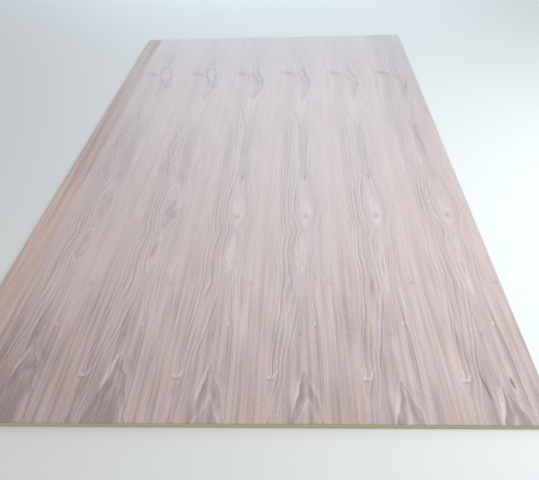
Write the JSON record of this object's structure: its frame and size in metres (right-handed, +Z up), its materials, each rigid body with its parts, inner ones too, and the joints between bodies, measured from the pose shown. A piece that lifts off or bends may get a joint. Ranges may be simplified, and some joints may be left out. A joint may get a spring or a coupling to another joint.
{
  "type": "veneered mdf board",
  "caption": "Flat rectangular MDF sheet with a slip-matched, crown-cut walnut veneer face and a plain balancing veneer under it, for panels, doors and furniture.",
  "frame": {"origin": "centre of the underside, on the floor that the board lies on", "axes": "+X across the board towards the trimmed whole-figure leaf, with the narrow leaf at the -X edge; +Y along the grain, away from the near end seen in the picture; +Z up, out of the decorative face"},
  "size_m": [1.22, 2.44, 0.0096],
  "materials": {
    "mdf_core": "raw sawn edge of greenish moisture-resistant fibreboard",
    "face_veneer": "unfinished sanded greyish walnut veneer, matt",
    "edge_leaf_veneer": "unfinished sanded browner walnut veneer, matt",
    "back_veneer": "unfinished plain balancing veneer, matt"
  },
  "bodies": {
    "root": {"mdf_core": "mdf_core", "face_leaf_1": "edge_leaf_veneer", "face_leaf_2": "face_veneer", "face_leaf_3": "face_veneer", "face_leaf_4": "face_veneer", "face_leaf_5": "face_veneer", "face_leaf_6": "face_veneer", "face_leaf_7": "face_veneer", "back_veneer": "back_veneer"}
  },
  "joints": []
}
